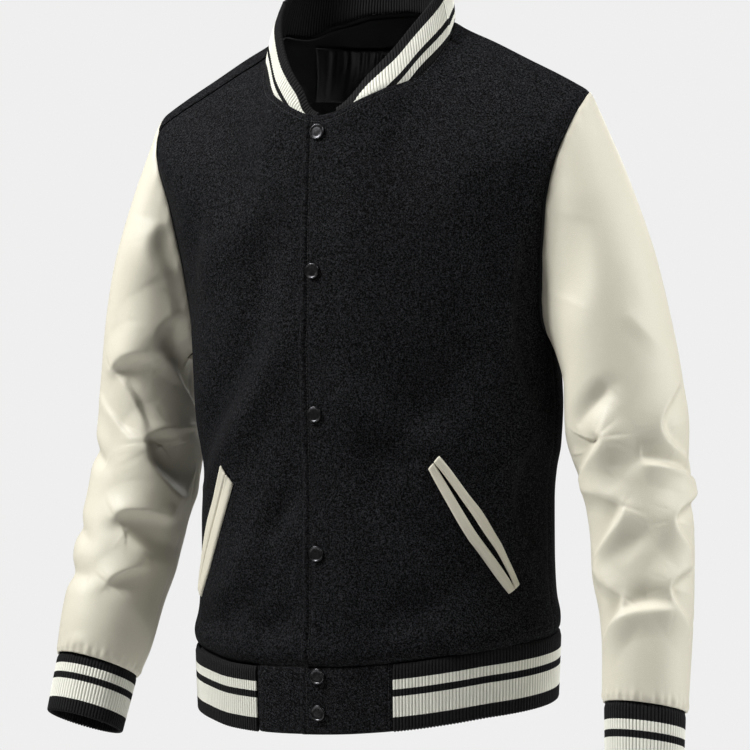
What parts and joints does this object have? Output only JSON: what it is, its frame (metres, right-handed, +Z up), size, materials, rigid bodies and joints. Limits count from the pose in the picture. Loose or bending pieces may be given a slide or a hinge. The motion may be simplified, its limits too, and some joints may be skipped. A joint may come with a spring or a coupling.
{
  "type": "varsity jacket",
  "caption": "Snap-front varsity jacket with a wool body, set-in leather sleeves, slanted welt pockets and a striped rib-knit collar, cuffs and waistband, worn shape, hollow.",
  "frame": {"origin": "middle of the neck, level with the inner ends of the shoulder seams", "axes": "+Z up along the jacket, -Y out of the front closing, +X towards the wearer's left sleeve"},
  "size_m": [0.6913, 0.2832, 0.8151],
  "materials": {
    "melton_wool": "matte napped melton",
    "cream_leather": "soft satin grain",
    "rib_knit": "matte rib knit with cream stripes",
    "black_satin": "soft sheen",
    "gunmetal": "dark plated"
  },
  "bodies": {
    "root": {"front_right": "melton_wool", "front_left": "melton_wool", "back": "melton_wool", "hem_tab_right": "melton_wool", "hem_tab_left": "melton_wool", "sleeve_right_top": "cream_leather", "sleeve_right_under": "cream_leather", "sleeve_left_top": "cream_leather", "sleeve_left_under": "cream_leather", "welt_right_front": "cream_leather", "welt_right_side": "cream_leather", "welt_left_front": "cream_leather", "welt_left_side": "cream_leather", "collar": "rib_knit", "hem_rib": "rib_knit", "cuff_right": "rib_knit", "cuff_left": "rib_knit", "back_facing": "black_satin", "neck_label": "black_satin", "size_tag": "black_satin", "snap_1": "gunmetal", "snap_2": "gunmetal", "snap_3": "gunmetal", "snap_4": "gunmetal", "snap_5": "gunmetal", "snap_6": "gunmetal"}
  },
  "joints": []
}
